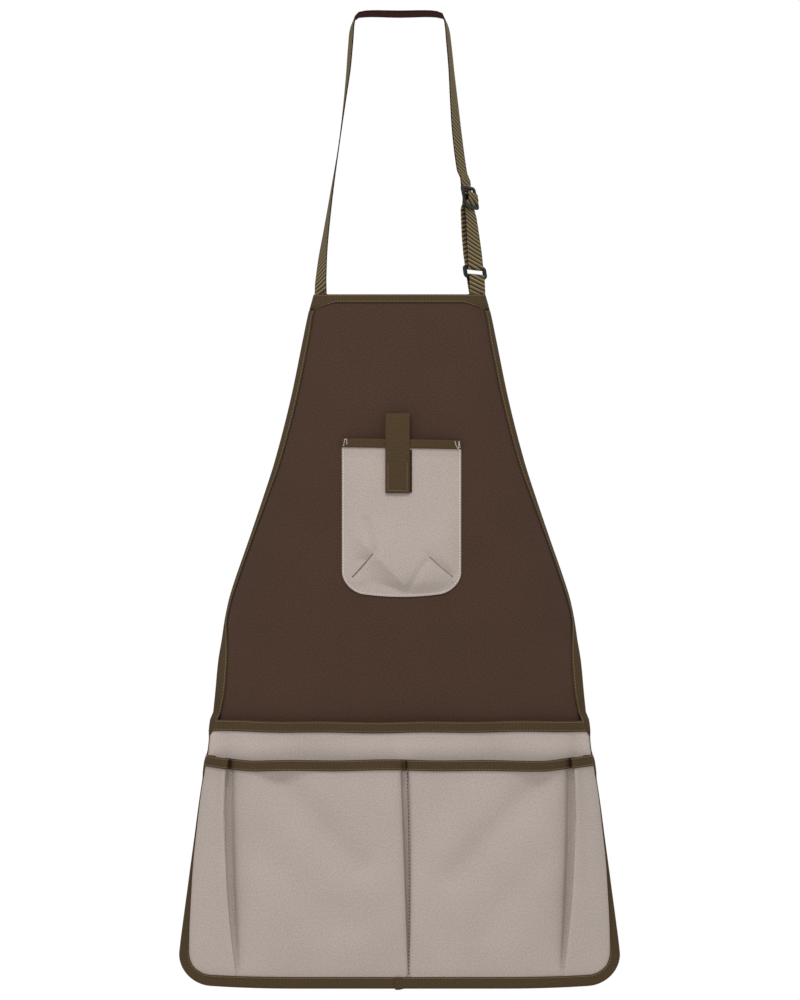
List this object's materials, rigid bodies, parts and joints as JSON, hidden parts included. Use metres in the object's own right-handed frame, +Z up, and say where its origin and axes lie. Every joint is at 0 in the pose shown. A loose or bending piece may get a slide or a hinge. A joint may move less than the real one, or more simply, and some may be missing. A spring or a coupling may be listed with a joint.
{
  "type": "gardening apron",
  "caption": "Brown cloth gardening apron with grey pockets, olive edge tapes and an adjustable neck strap, in the shape that it has when worn.",
  "frame": {"origin": "middle of the neck strap behind the neck, where the apron hangs", "axes": "+Z up, the front of the apron faces -Y, and +X is the side of the buckles"},
  "size_m": [0.491, 0.1877, 1.0864],
  "materials": {
    "brown_cloth": "plain woven canvas",
    "grey_cloth": "plain woven canvas",
    "olive_tape": "ribbed woven tape",
    "olive_webbing": "twill webbing",
    "black_plastic": "satin moulded"
  },
  "bodies": {
    "root": {"body_panel": "brown_cloth", "bib_top_binding": "olive_tape", "edge_binding_left": "olive_tape", "edge_binding_right": "olive_tape", "upper_pocket": "grey_cloth", "upper_pocket_tape": "olive_tape", "lower_pocket": "grey_cloth", "lower_pocket_tape": "olive_tape", "chest_pocket": "grey_cloth", "chest_pocket_tape": "olive_tape", "chest_tab": "olive_tape", "chest_tab_patch": "olive_tape", "neck_strap": "olive_webbing", "slide_buckle": "black_plastic", "strap_ring": "black_plastic", "strap_tab": "olive_webbing"}
  },
  "joints": []
}
